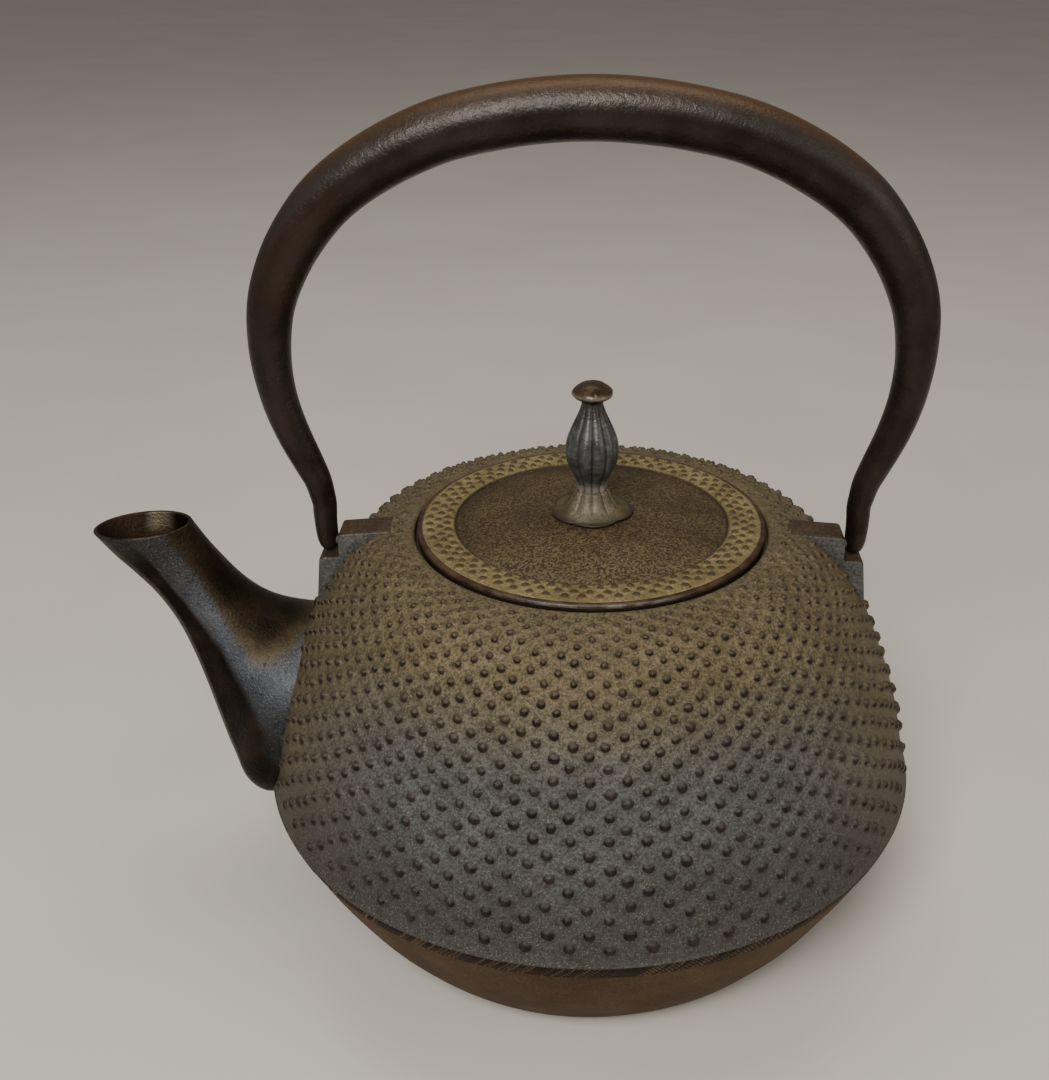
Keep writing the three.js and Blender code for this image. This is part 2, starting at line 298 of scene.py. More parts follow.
def spout_metal():
    k = Iron("iron_spout")
    patch = k.noise(75, 4, 0.6)
    grain = k.noise(620, 4, 0.6)
    fine = k.noise(2100, 2, 0.6)
    slate = k.mix(k.band(patch, 0.35, 0.66), (0.058, 0.062, 0.070), (0.098, 0.104, 0.116))
    slate = k.mix(k.band(k.z, 0.090, 0.110, 0.0, 0.85), slate, (0.032, 0.029, 0.027))
    brown = k.mix(k.band(patch, 0.4, 0.65), (0.016, 0.011, 0.007), (0.034, 0.023, 0.013))
    # darker low on the spout, where its root meets the body: painted shade in the joint
    slate = k.mix(k.band(k.z, 0.082, 0.060, 0.0, 0.75), slate, (0.028, 0.029, 0.032))
    crown = k.attr("crown")
    # on the upper side, the olive-brown patch nearer the body is a painted highlight; further out it stays dark
    olive = k.mix(k.band(k.x, -0.108, -0.092), (0.034, 0.026, 0.017), k.mix(k.band(patch, 0.36, 0.64), (0.056, 0.042, 0.022), (0.092, 0.071, 0.039)))
    c = k.mix(k.band(crown, 0.46, 0.68), slate, olive)
    c = k.mix(k.band(crown, 0.60, 0.84), c, brown)
    # under: the flank below the soft crease is painted near black as shade
    c = k.mix(k.attr("under"), c, k.mix(k.band(patch, 0.4, 0.62), (0.010, 0.007, 0.005), (0.026, 0.017, 0.011)))
    # light specks only on the lit middle face, kept off the underside and the top: painted glints
    c = k.mix(k.math("MULTIPLY", k.band(fine, 0.55, 0.70, 0.0, 0.30), k.math("MULTIPLY", k.math("SUBTRACT", 1.0, k.attr("under")), k.band(crown, 0.7, 0.4, 0.15, 1.0))), c, (0.24, 0.25, 0.27))
    c = k.mix(k.band(grain, 0.45, 0.30, 0.0, 0.55), c, (0.014, 0.012, 0.011))
    # inside the spout: painted shade, with a painted pool of light on the trough's back wall (lit)
    lit = k.math("MULTIPLY", k.band(k.x, -0.1245, -0.1205), k.band(k.x, -0.1145, -0.1180))
    throat = k.mix(k.math("MULTIPLY", lit, k.band(k.z, 0.1065, 0.1105)), (0.022, 0.014, 0.009), (0.17, 0.135, 0.095))
    c = k.mix(k.attr("inner"), c, throat)
    c = k.mix(k.attr("lip"), c, k.mix(k.band(k.noise(130, 3, 0.6), 0.38, 0.6), (0.018, 0.012, 0.008), (0.070, 0.048, 0.028)))
    n = k.bump(k.noise(1150, 4, 0.65), 0.00032, 0.9)
    n = k.bump(fine, 0.00016, 0.7, n)
    return k.done(c, k.band(grain, 0.3, 0.7, 0.42, 0.54), n, metal=0.8, spec=0.1)


def lug_metal():
    k = Iron("iron_lug")
    patch = k.noise(160, 4, 0.6)
    fine = k.noise(1900, 3, 0.65)
    geo = k.t.nodes.new("ShaderNodeNewGeometry")
    sp = k.t.nodes.new("ShaderNodeSeparateXYZ")
    k.t.links.new(geo.outputs["Normal"], sp.inputs[0])
    slate = k.mix(k.band(patch, 0.35, 0.66), (0.078, 0.079, 0.077), (0.135, 0.134, 0.125))
    brown = k.mix(k.band(patch, 0.35, 0.66), (0.060, 0.038, 0.020), (0.100, 0.066, 0.036))
    c = k.mix(k.band(sp.outputs[2], 0.35, 0.8), slate, brown)
    c = k.mix(k.band(k.noise(1250, 3, 0.75), 0.56, 0.4, 0.0, 0.6), c, (0.016, 0.013, 0.010))
    c = k.mix(k.band(fine, 0.56, 0.7, 0.0, 0.35), c, (0.24, 0.22, 0.18))
    n = k.bump(k.noise(1100, 4, 0.6), 0.00018, 0.8)
    return k.done(c, k.band(patch, 0.3, 0.7, 0.42, 0.56), n, metal=0.45, spec=0.3)


def inside_metal():
    k = Iron("iron_inside")
    patch = k.noise(50, 4, 0.6)
    grain = k.noise(1300, 3, 0.7)
    c = k.mix(k.band(patch, 0.36, 0.66), (0.05, 0.04, 0.03), (0.095, 0.07, 0.045))
    top = k.band(k.z, 0.1122, 0.1146)
    c = k.mix(top, c, k.mix(k.band(patch, 0.4, 0.6), (0.11, 0.08, 0.05), (0.17, 0.135, 0.085)))
    n = k.bump(k.noise(900, 4, 0.65), 0.0002, 0.8)
    return k.done(c, k.band(grain, 0.3, 0.7, 0.58, 0.72), n, metal=0.25)


def lid_metal():
    k = Iron("iron_lid")
    patch = k.noise(85, 4, 0.6)
    grain = k.noise(1350, 4, 0.75)
    sand = k.cells(1500)
    rr = k.math("SQRT", k.math("ADD", k.math("MULTIPLY", k.x, k.x), k.math("MULTIPLY", k.y, k.y)))
    ring = k.mix(k.band(patch, 0.34, 0.66), (0.190, 0.146, 0.062), (0.275, 0.218, 0.100))
    mid = k.mix(k.band(patch, 0.34, 0.66), (0.075, 0.050, 0.022), (0.125, 0.088, 0.042))
    warm = k.mix(k.band(k.noise(28, 3, 0.5), 0.45, 0.7, 0.0, 0.6), mid, (0.125, 0.078, 0.036))
    # the front of the dish is painted lighter: painted light from the front
    warm = k.mix(k.band(k.y, -0.010, -0.028, 0.0, 0.6), warm, (0.185, 0.142, 0.074))
    # darker near the dish's edge at the back left: painted shadow of the step
    warm = k.mix(k.math("MULTIPLY", k.band(rr, 0.030, 0.0362), k.band(k.math("SUBTRACT", k.y, k.x), -0.004, 0.026, 0.0, 0.55)), warm, (0.035, 0.024, 0.012))
    warm = k.mix(k.band(k.noise(1350, 3, 0.7), 0.56, 0.44, 0.0, 0.85), warm, (0.022, 0.014, 0.007))
    in_mid = k.band(rr, 0.03705, 0.03665)
    c = k.mix(in_mid, ring, warm)
    # a dark line in the step down to the dish: painted shade
    step_shade = k.math("MULTIPLY", k.band(rr, 0.0359, 0.0366), k.band(rr, 0.0376, 0.0369))
    c = k.mix(k.math("MULTIPLY", step_shade, 0.75), c, (0.03, 0.022, 0.013))
    c = k.mix(k.band(grain, 0.36, 0.56, 0.6, 0.0), c, (0.035, 0.024, 0.012))
    c = k.mix(k.band(sand, 0.30, 0.12, 0.0, 0.4), c, (0.30, 0.235, 0.12))
    tip = k.attr("tip")
    c = k.mix(k.band(tip, 0.1, 0.7, 0.0, 0.82), c, (0.034, 0.021, 0.010))
    rim = k.band(rr, 0.04535, 0.04575)
    rimc = k.mix(k.band(k.noise(120, 3, 0.6), 0.38, 0.62), (0.034, 0.018, 0.010), (0.085, 0.050, 0.028))
    # a light line along the front of the rim's outer edge: painted highlight
    shine = k.math("MULTIPLY", k.band(k.y, -0.038, -0.046), k.math("MULTIPLY", k.band(rr, 0.0466, 0.0468), k.band(k.z, 0.1149, 0.1153)))
    rimc = k.mix(k.math("MULTIPLY", shine, 0.8), rimc, k.mix(k.band(k.noise(200, 3, 0.6), 0.40, 0.64), (0.060, 0.048, 0.038), (0.185, 0.18, 0.175)))
    c = k.mix(rim, c, rimc)
    # everything below the rim's top is painted dark: painted shade under the rim and down into the pot's mouth
    under = k.band(k.z, 0.1151, 0.1147)
    c = k.mix(under, c, (0.020, 0.014, 0.010))
    rough = k.band(rim, 0.2, 0.9, 0.66, 0.4)
    n = k.bump(k.noise(800, 4, 0.7), 0.0003, 0.8)
    n = k.bump(grain, 0.0002, 0.8, n)
    return k.done(c, rough, n, metal=0.3, spec=0.35)


def knob_metal():
    k = Iron("iron_knob")
    patch = k.noise(260, 4, 0.6)
    lines = k.noise(1, 3, 0.7, vec=k.stretch(240, 240, 1700))
    blue = k.mix(k.band(patch, 0.36, 0.64), (0.055, 0.058, 0.060), (0.110, 0.114, 0.116))
    pale = k.mix(k.band(patch, 0.36, 0.64), (0.20, 0.19, 0.16), (0.33, 0.31, 0.26))
    c = k.mix(k.band(k.z, 0.1292, 0.1262), blue, pale)
    # darker towards the top of the bud, under the cap: painted shade
    c = k.mix(k.band(k.z, 0.1415, 0.149, 0.0, 0.75), c, (0.042, 0.036, 0.032))
    c = k.mix(k.band(lines, 0.56, 0.64, 0.0, 0.6), c, (0.022, 0.022, 0.024))
    c = k.mix(k.band(lines, 0.34, 0.28, 0.0, 0.5), c, (0.26, 0.27, 0.28))
    # the flute valleys are painted darker: painted shade in the grooves
    groove = k.attr("groove")
    c = k.mix(k.band(groove, 0.55, 0.98, 0.0, 0.8), c, (0.022, 0.018, 0.014))
    n = k.bump(lines, 0.0002, 0.7)
    n = k.bump(k.noise(900, 3, 0.6), 0.0001, 0.6, n)
    return k.done(c, k.band(patch, 0.3, 0.7, 0.27, 0.42), n, metal=0.55)


def seat_metal():
    k = Iron("iron_seat")
    patch = k.noise(190, 4, 0.6)
    grain = k.noise(1500, 3, 0.7)
    rr = k.math("SQRT", k.math("ADD", k.math("MULTIPLY", k.x, k.x), k.math("MULTIPLY", k.y, k.y)))
    ochre = k.mix(k.band(patch, 0.36, 0.64), (0.075, 0.055, 0.022), (0.140, 0.106, 0.044))
    pale = k.mix(k.band(patch, 0.36, 0.64), (0.110, 0.095, 0.060), (0.180, 0.158, 0.105))
    side = k.math("MULTIPLY", k.band(k.y, 0.001, -0.004), k.band(k.math("ABSOLUTE", k.x), 0.0075, 0.0045))
    c = k.mix(side, ochre, pale)
    # darker at the petals' outer edge: painted shade along and under the edge
    c = k.mix(k.band(rr, 0.0090, 0.0108, 0.0, 0.88), c, (0.030, 0.019, 0.010))
    # the folds between petals are painted darker: painted shade in the folds
    c = k.mix(k.band(k.attr("groove"), 0.55, 0.98, 0.0, 0.65), c, (0.030, 0.020, 0.012))
    c = k.mix(k.band(grain, 0.38, 0.56, 0.5, 0.0), c, (0.05, 0.035, 0.02))
    n = k.bump(k.noise(1000, 4, 0.65), 0.00022, 0.8)
    return k.done(c, k.band(grain, 0.3, 0.7, 0.42, 0.58), n, metal=0.35)


def stem_metal():
    k = Iron("iron_stem")
    patch = k.noise(330, 4, 0.65)
    c = k.mix(k.band(patch, 0.35, 0.65), (0.034, 0.021, 0.011), (0.085, 0.053, 0.027))
    c = k.mix(k.band(k.noise(900, 3, 0.6), 0.56, 0.7, 0.0, 0.4), c, (0.15, 0.11, 0.07))
    # a light band round the cap's widest edge: painted highlight
    edge = k.math("MULTIPLY", k.band(k.z, 0.1512, 0.1518), k.band(k.z, 0.1530, 0.1524))
    c = k.mix(k.math("MULTIPLY", edge, 0.45), c, (0.30, 0.27, 0.23))
    # darker below the cap's rim, on its underside and the stem: painted shade under the cap
    c = k.mix(k.band(k.z, 0.1513, 0.1506, 0.0, 0.8), c, (0.02, 0.018, 0.017))
    n = k.bump(k.noise(520, 4, 0.6), 0.0004, 0.7)
    return k.done(c, k.band(patch, 0.3, 0.7, 0.26, 0.4), n, metal=0.55)


def bail_metal():
    k = Iron("iron_bail")
    patch = k.noise(55, 4, 0.6)
    fine = k.noise(1500, 3, 0.6)
    c = k.mix(k.band(patch, 0.34, 0.66), (0.017, 0.012, 0.010), (0.034, 0.025, 0.020))
    c = k.mix(k.band(k.noise(20, 3, 0.5), 0.5, 0.72, 0.0, 0.6), c, (0.040, 0.024, 0.014))
    geo = k.t.nodes.new("ShaderNodeNewGeometry")
    sp = k.t.nodes.new("ShaderNodeSeparateXYZ")
    k.t.links.new(geo.outputs["Normal"], sp.inputs[0])
    lift = k.band(k.z, 0.190, 0.214)
    # on the upper arc, the faces turned up get warm brown: painted highlight along the top
    c = k.mix(k.math("MULTIPLY", lift, k.band(sp.outputs[2], 0.45, 0.85, 0.0, 0.9)), c, (0.105, 0.052, 0.017))
    # on the upper arc, the faces turned to the front get a grey tone: painted sheen
    c = k.mix(k.math("MULTIPLY", lift, k.math("MULTIPLY", k.band(sp.outputs[1], -0.25, -0.65), k.band(sp.outputs[2], 0.0, 0.35, 0.0, 0.5))), c, (0.060, 0.055, 0.052))
    c = k.mix(k.band(fine, 0.6, 0.72, 0.0, 0.22), c, (0.11, 0.085, 0.065))
    n = k.bump(patch, 0.0006, 0.35)
    n = k.bump(k.noise(620, 4, 0.6), 0.00024, 0.8, n)
    n = k.bump(fine, 0.00012, 0.7, n)
    return k.done(c, k.band(k.noise(120, 4, 0.6), 0.3, 0.7, 0.31, 0.43), n, metal=0.6, spec=0.2)


def plain_metal(name, a, b, rough):
    k = Iron(name)
    patch = k.noise(400, 4, 0.65)
    c = k.mix(k.band(patch, 0.35, 0.65), a, b)
    n = k.bump(k.noise(1300, 3, 0.6), 0.00012, 0.7)
    return k.done(c, k.band(patch, 0.3, 0.7, rough - 0.06, rough + 0.08), n, metal=0.5)


WALL = wall_metal()
BOWL = bottom_metal()
SPOUT = spout_metal()
LUG = lug_metal()
INSIDE = inside_metal()
LID = lid_metal()
KNOB = knob_metal()
SEAT = seat_metal()
STEM = stem_metal()
BAIL = bail_metal()
PIN = plain_metal("iron_pin", (0.07, 0.06, 0.05), (0.13, 0.115, 0.10), 0.45)
WASHER = plain_metal("iron_washer", (0.07, 0.062, 0.052), (0.14, 0.125, 0.105), 0.5)

# ------------------------------------------------------------------- pot: shape
GROUND = catmull([
    (91.25, 44.25), (90.9, 45.2), (90.2, 47.2), (89.5, 50), (88.2, 57), (86.65, 64), (84.3, 71), (81.65, 78), (78.75, 85),
    (75.45, 92), (72.0, 98), (68.2, 104), (64.05, 108.4), (60.1, 111.75), (55.4, 113.7), (51.7, 114.5), (49.4, 114.8)], 24)
ARC = np.concatenate([[0], np.cumsum(np.hypot(*np.diff(GROUND, axis=0).T))])
TOP_S = float(ARC[-1])
SLOPE = np.gradient(GROUND, ARC, axis=0)


def ground(s):
    return float(np.interp(s, ARC, GROUND[:, 0])), float(np.interp(s, ARC, GROUND[:, 1]))


def wall_point(s, t, h):
    r, z = ground(s)
    dr, dz = np.interp(s, ARC, SLOPE[:, 0]), np.interp(s, ARC, SLOPE[:, 1])
    ln = math.hypot(dr, dz)
    nr, nz = dz / ln, -dr / ln
    h = h + 0.07 * math.sin(5 * t + 0.21 * s) * math.sin(0.33 * s + 2 * t) + 0.05 * math.sin(11 * t - 0.4 * s + 1)
    r, z = r + nr * h, z + nz * h
    return r * math.cos(t), r * math.sin(t), z


def wall_radius(z):
    """Radius of the wall's ground at a height."""
    return float(np.interp(z, GROUND[:, 1], GROUND[:, 0])) if z >= 44.25 else float(np.interp(z, [30.2, 37, 41, 44.25], [85.3, 88.6, 90.0, 91.2]))


SPOUT_OUT = [
    ((-76, 39), (-64, 83), 23, 4.6), ((-91.8, 37.4), (-76.5, 85.6), 25.6, 4.6), ((-98.6, 38.8), (-82, 86.6), 24.6, 3.9),
    ((-103, 44.6), (-87.2, 88.4), 21.2, 2.9), ((-106, 53.4), (-91.8, 91), 17.6, 2.4), ((-108.8, 64.5), (-95.8, 94.4), 14.6, 2.2),
    ((-111.8, 75.2), (-99.2, 98.4), 12.3, 2.1), ((-115.4, 85.2), (-102, 102.4), 10.8, 2), ((-120.4, 94), (-104.6, 106.4), 9.8, 2),
    ((-126, 100.7), (-106.6, 110), 9.3, 2), ((-130.8, 106), (-107.9, 112.5), 9.1, 2), ((-135.3, 112), (-108.7, 114.1), 8.9, 2)]
SPOUT_IN = [
    ((-70, 53), (-60, 79), 14, 2.2), ((-86, 49.5), (-77, 80.8), 18.4, 2.2), ((-95.2, 48.4), (-83.4, 82.8), 19, 2.2),
    ((-99.6, 53.2), (-87.4, 85.4), 16.6, 2.2), ((-102.8, 61), (-91.2, 88.6), 13.8, 2.1), ((-105.8, 70.6), (-94.6, 92.2), 11.4, 2.1),
    ((-109, 80.2), (-97.6, 96), 9.3, 2), ((-113.2, 88.6), (-100.4, 100.2), 7.8, 2), ((-118.2, 95.6), (-103.2, 104.6), 7, 2),
    ((-124, 102), (-106.2, 109), 6.7, 2), ((-129.3, 107.6), (-108.6, 111.8), 7.1, 2), ((-134.2, 112.25), (-109.7, 114.0), 8.0, 2)]
KEEL = [0, 0, 0.35, 0.85, 1, 1, 1, 1, 0.95, 0.8, 0.5, 0.2]


def sections(rows, per, keel):
    """Centre x, z, up x, z, half width, power and keel share at each step along the spout."""
    flat = [[(a[0] + b[0]) / 2, (a[1] + b[1]) / 2, (b[0] - a[0]) / 2, (b[1] - a[1]) / 2, hy, pw, kl] for (a, b, hy, pw), kl in zip(rows, keel)]
    return catmull(flat, per)


def oval(sec, n):
    """One ring: round above, and below a flank that turns in at a soft edge towards a keel."""
    cx, cz, ux, uz, hy, pw, kl = sec
    pts, ups, sides = [], [], []
    for j in range(n):
        t = TAU * j / n
        a, b = math.cos(t), math.sin(t)
        k = 2 / pw if a < 0 else 1.0
        aa = math.copysign(abs(a) ** k, a)
        bb = math.copysign(abs(b) ** k, b)
        if a < -1e-9 and kl > 0:
            u = (t - TAU / 4) / (TAU / 4) if t <= TAU / 2 else (3 * TAU / 4 - t) / (TAU / 4)
            if u < 3 / 7:
                va, vb = -0.44 * u * 7 / 3, 1 - 0.03 * u * 7 / 3
            else:
                w = (u - 3 / 7) * 7 / 4
                va = -0.44 * (1 - w) ** 2 - 0.93 * 2 * w * (1 - w) - w * w
                vb = 0.97 * (1 - w) ** 2 + 0.62 * 2 * w * (1 - w)
            vb = math.copysign(vb, b)
            aa, bb = aa + (va - aa) * kl, bb + (vb - bb) * kl
        pts.append((cx + ux * aa, hy * bb, cz + uz * aa))
        ups.append(aa)
        sides.append(bb)
    return pts, ups, sides


OUT_SECS = sections(SPOUT_OUT, 9, KEEL)
IN_SECS = sections(SPOUT_IN, 9, [0] * 12)


def in_spout(x, y, z, grow):
    """True where the spout's root covers the wall."""
    if x > -55:
        return False
    best = None
    for cx, cz, ux, uz, hy, pw, _ in OUT_SECS[9:40]:
        L = math.hypot(ux, uz)
        off = abs((x - cx) * uz / L - (z - cz) * ux / L)
        if best is None or off < best[0]:
            a = ((x - cx) * ux + (z - cz) * uz) / L
            k = pw if a < 0 else 2.0
            best = (off, (abs(a) / (L + grow)) ** k + (abs(y) / (hy + grow)) ** k)
    return best[1] < 1.0


# ----------------------------------------------------------- studs on a surface
def studs(rows, half, point, radius_at, keep, size, rise, seed, shift=(0.0, 0.0), tail=((1.2, 0.0), (0.93, 0.42), (0.56, 0.88))):
    """A skin of staggered studs. rows has one level before the first row of studs and one after the last."""
    rng = np.random.RandomState(seed)
    V, A, F, idx = [], [], [], {}
    n3, count = 3 * half, len(rows) - 2
    level = np.arange(-1, count + 1)

    def at(a):
        return float(np.interp(a / 3.0, level, rows))

    def vert(a, b):
        key = (a, b % n3)
        if key not in idx:
            idx[key] = len(V)
            V.append(point(at(a), TAU * b / n3, 0.0))
            A.append(0.0)
        return idx[key]

    steps = [(0, 3), (1, 2), (2, 1), (3, 0), (2, -1), (1, -2), (0, -3), (-1, -2), (-2, -1), (-3, 0), (-2, 1), (-1, 2)]
    for i in range(count):
        s0 = at(3 * i)
        R = radius_at(s0)
        for c in range(half):
            if (i + c) % 2:
                continue
            outer = [vert(3 * i + a, 3 * c + b) for a, b in steps]
            t0 = TAU * c / half
            ds, dt, gr, gh = rng.normal(0, 1, 4)
            if not keep(s0, t0):
                mid = len(V)
                V.append(point(s0, t0, 0.0))
                A.append(0.0)
                F += [(outer[k], outer[(k + 1) % 12], mid) for k in range(12)]
                continue
            r0 = size(s0) * (1 + 0.07 * max(-2, min(2, gr)))
            h0 = rise(s0) * (1 + 0.11 * max(-2, min(2, gh)))
            sc = s0 + shift[0] * max(-2, min(2, ds))
            tc = t0 + shift[1] * max(-2, min(2, dt)) / R
            phase, egg = rng.uniform(0, TAU), rng.uniform(0.0, 0.09)
            prev = outer
            for fr, fh in tail:
                ring = []
                for k in range(12):
                    ph = TAU * k / 12
                    rr = r0 * fr * (1 + egg * math.cos(2 * ph + phase))
                    ring.append(len(V))
                    V.append(point(sc + rr * math.sin(ph), tc + rr * math.cos(ph) / R, h0 * fh))
                    A.append(fh)
                F += [(prev[k], prev[(k + 1) % 12], ring[(k + 1) % 12], ring[k]) for k in range(12)]
                prev = ring
            top = len(V)
            V.append(point(sc, tc, h0))
            A.append(1.0)
            F += [(prev[k], prev[(k + 1) % 12], top) for k in range(12)]
    # level the zigzag edges off with straight rings
    for side, edge, first in ((-1, -3, 0), (1, 3 * count, (count - 1))):
        for b in range(n3):
            def lv(q):
                d = (q - 3 * (first % 2)) % 6
                d = min(d, 6 - d)
                return edge - side * d if side > 0 else edge + d
            p, q = (lv(b), b), (lv(b + 1), b + 1)
            top = [(edge, b), (edge, b + 1)]
            loop = [vert(*p), vert(*q), vert(*top[1]), vert(*top[0])]
            loop = [v for n, v in enumerate(loop) if v not in loop[:n]]
            if len(loop) > 2:
                F.append(tuple(loop if side > 0 else loop[::-1]))
    low = [vert(-3, b) for b in range(n3)]
    high = [vert(3 * count, b) for b in range(n3)]
    return V, A, F, low, high


def strip(V, A, F, ring, pts_list, up, value=0.0):
    """Adds further rings to a skin, starting from one of its edges."""
    n = len(ring)
    for pts in pts_list:
        new = []
        for p in pts:
            new.append(len(V))
            V.append(p)
            A.append(value)
        quads = [(ring[j], ring[(j + 1) % n], new[(j + 1) % n], new[j]) for j in range(n)]
        F += quads if up else [q[::-1] for q in quads]
        ring = new
    return ring


# ---------------------------------------------------------------- pot: the wall
LUG_Y = 4.8
levels, s = [0.7, 4.3], 4.3
PITCH = ([0, 6, 15, 25, 35, 45, 55, 65, 90], [3.95, 3.75, 3.35, 3.1, 2.87, 2.72, 2.42, 2.25, 2.05])
while True:
    s += float(np.interp(s, *PITCH))
    if s > TOP_S - 1.5:
        break
    levels.append(s)
levels.append(min(TOP_S - 0.25, levels[-1] + 1.5))
COLS = 116


def keep_wall(s, t):
    r, z = ground(s)
    x, y = r * math.cos(t), r * math.sin(t)
    if abs(y) < LUG_Y + 1.3 and abs(x) > 54 and z > 91.5:
        return False
    return not in_spout(x, y, z, 2.0)


def wall_size(s):
    return 0.0144 * ground(s)[0] * float(np.interp(s, [0, 55, 75], [1.08, 1.08, 1.0]))


V, A, F, low, high = studs(
    levels, COLS, wall_point, lambda s: ground(s)[0], keep_wall, wall_size,
    lambda s: float(np.interp(s, [0, 60, TOP_S], [1.15, 1.05, 0.72])), 11, (0.24, 0.34))
angles = [TAU * b / (3 * COLS) for b in range(3 * COLS)]
strip(V, A, F, low, [
    [wall_point(0.25, t, 0.0) for t in angles],
    [(91.42 * math.cos(t), 91.42 * math.sin(t), 44.12) for t in angles],
    [(91.56 * math.cos(t), 91.56 * math.sin(t), 43.92) for t in angles],
    [(91.5 * math.cos(t), 91.5 * math.sin(t), 43.72) for t in angles],
    [(91.0 * math.cos(t), 91.0 * math.sin(t), 43.6) for t in angles]], False)
strip(V, A, F, high, [
    [wall_point(TOP_S, t, 0.0) for t in angles],
    [(48.9 * math.cos(t), 48.9 * math.sin(t), 114.86) for t in angles],
    [(48.3 * math.cos(t), 48.3 * math.sin(t), 114.8) for t in angles],
    [(47.85 * math.cos(t), 47.85 * math.sin(t), 114.55) for t in angles],
    [(47.66 * math.cos(t), 47.66 * math.sin(t), 114.1) for t in angles]], True)
piece("wall_hobnail", V, F, WALL, "pot", "body_iron", ["pot_body"], attrs={"tip": A})

# band under the parting edge, with slanted file marks cut into it, and the bowl
n = 2880
band = [(91.3, 43.7), (91.3, 43.2), (91.15, 42.5), (90.85, 41.7), (90.45, 40.9), (90.0, 40.0), (89.5, 39.2), (89.2, 38.6)]
rngb = np.random.RandomState(5)
depth = rngb.uniform(0.3, 1.0, 480)
V, T = [], []
for i, (r, z) in enumerate(band):
    for j in range(n):
        t = TAU * j / n
        u = j / 6.0 + (43.7 - z) * 0.62
        tooth = abs((u % 1.0) - 0.5) * 2
        amount = depth[int(u) % 480] * (0.4 if 0 < i < 7 else 0.0)
        V.append(((r - amount * tooth) * math.cos(t), (r - amount * tooth) * math.sin(t), z))
        # tooth: how far each ridge stands, which the material uses to paint the grooves dark as shade
        T.append((1 - tooth) * depth[int(u) % 480] if i > 0 else 0.0)
F = grid_faces(len(band), n)
piece("parting_band", V, F, BOWL, "pot", "body_iron", attrs={"tooth": T})
bowl = [(89.3, 39.1)] + list(map(tuple, catmull([
    (89.15, 38.5), (88.7, 37.4), (85.4, 30.4), (80.3, 20.8), (76.7, 14.6), (73.2, 9.6), (70.4, 5.8), (67.7, 2.8), (64.4, 0.85), (61.2, 0.2)], 8)))
bowl += [(60.0, 0.05), (54.0, 0.05), (40, 0.05), (20, 0.05), (0, 0.05)]


def dents(t, r, z):
    return 0.10 * math.sin(7 * t + 0.13 * z) * math.sin(0.17 * z + 3 * t) - 0.1 if r > 62 else 0.0


piece("bowl_bottom", *lathe(bowl, 256, dents), BOWL, "pot", "body_iron")

# inner skin: seat for the lid, throat and hollow, with the way into the spout left open
inside = [(47.66, 114.15), (47.6, 113.4), (47.58, 112.9), (47.45, 112.68), (47.1, 112.6), (42.6, 112.6), (42.38, 112.5), (42.3, 112.2),
          (42.3, 110.6), (42.45, 110.2), (43.0, 109.98), (45.2, 109.9)]
inside += list(map(tuple, catmull([
    (49, 109.85), (53, 109.8), (58.4, 108.4), (63.4, 104.4), (69.2, 97), (75.6, 86), (80.0, 76), (83.6, 65), (85.9, 55), (86.9, 46),
    (86.4, 41.5), (82.0, 30.6), (77.0, 20.8), (70.4, 10.6), (65.6, 5.2), (60, 3.45)], 7)))
inside += [(50, 3.4), (30, 3.4), (12, 3.4), (0, 3.4)]
V, F = lathe(inside, 240)


def in_bore(x, y, z):
    if x > -60:
        return False
    for cx, cz, ux, uz, hy, pw, _ in IN_SECS[5:24]:
        L = math.hypot(ux, uz)
        if abs((x - cx) * uz / L - (z - cz) * ux / L) < 0.9:
            a = ((x - cx) * ux + (z - cz) * uz) / L
            if (abs(a) / L) ** pw + (abs(y) / hy) ** pw < 0.985:
                return True
    return False


hidden = [in_bore(*p) for p in V]
F = [f for f in F if not all(hidden[i] for i in f)]
piece("pot_inside", V, F, INSIDE, "pot", "body_iron")

# -------------------------------------------------------------------- pot: spout
NS = 112
V, CR, UN, INN, LIP = [], [], [], [], []


def inner_radius(z):
    P = np.array(inside[12:])
    return float(np.interp(z, P[::-1, 1], P[::-1, 0]))


for q, sec in enumerate(OUT_SECS):
    pts, ups, sides = oval(sec, NS)
    for j, ((x, y, z), a, b) in enumerate(zip(pts, ups, sides)):
        need = wall_radius(z) - 1.6
        r = math.hypot(x, y)
        if r < need:
            x, y = x * need / r, y * need / r
        V.append((x, y, z))
        CR.append(max(0.0, a) * min(1.0, 0.35 + q / 45.0))
        # UN: share of the flank below the crease that the material paints dark as shade
        from_side = abs(j - NS / 2) * 4 / NS
        crease = float(np.interp(q, [0, 9, 15, 21, 30, 45, 51, 57, 63, 70, 78, 87, 99], [0.9, 0.96, 1.0, 1.1, 1.16, 1.16, 1.09, 1.03, 0.96, 0.89, 0.92, 0.96, 0.9]))
        UN.append(min(1.0, max(0.0, (crease - from_side) / 0.09 + 0.5)) * (1.0 if q < 84 else max(0.35, 1 - (q - 84) / 15.0)))
        INN.append(0.0)
        LIP.append(0.0)
rows = len(OUT_SECS)
last_out, _, _ = oval(OUT_SECS[-1], NS)
last_in, _, _ = oval(IN_SECS[-1], NS)
# the lip rows take part of the throat's painted shade (inner 0.4)
for f, dz, lip in ((0.12, 0.38, 0.6), (0.35, 0.52, 1.0), (0.65, 0.48, 0.9), (0.9, 0.3, 0.2)):
    for p, q in zip(last_out, last_in):
        V.append((p[0] + (q[0] - p[0]) * f, p[1] + (q[1] - p[1]) * f, p[2] + (q[2] - p[2]) * f + dz - 0.25))
        CR.append(0.0)
        UN.append(0.0)
        INN.append(0.4)
        LIP.append(lip)
rows += 4
